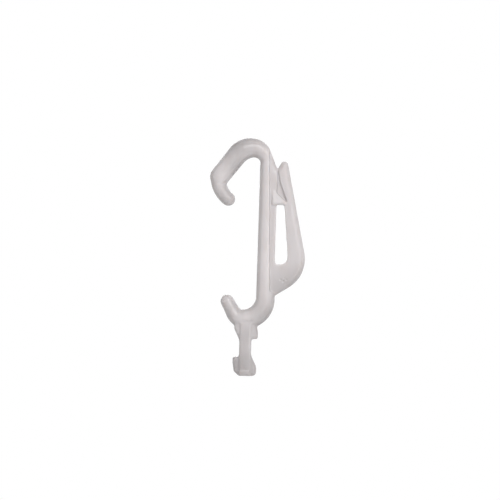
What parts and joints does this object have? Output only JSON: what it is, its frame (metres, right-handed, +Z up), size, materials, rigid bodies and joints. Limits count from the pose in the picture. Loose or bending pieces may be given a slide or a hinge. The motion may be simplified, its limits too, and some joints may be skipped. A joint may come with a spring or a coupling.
{
  "type": "curtain hook",
  "caption": "Moulded curtain hook: open round-rod crown, straight stem with a sprung latch arm beside it, a small upturned cradle and a point-symmetric twist-in foot.",
  "frame": {"origin": "inside top of the crown, on the rod's surface, where the hook bears on what it hangs from", "axes": "+Z up along the stem, +X from the hook's open mouth towards the spring arm, +Y through the depth, away from the barb's face"},
  "size_m": [0.0184, 0.004, 0.045],
  "materials": {
    "moulded_plastic": "semi-gloss, off-white and slightly translucent moulded plastic"
  },
  "bodies": {
    "root": {"curtain_hook": "moulded_plastic"}
  },
  "joints": []
}
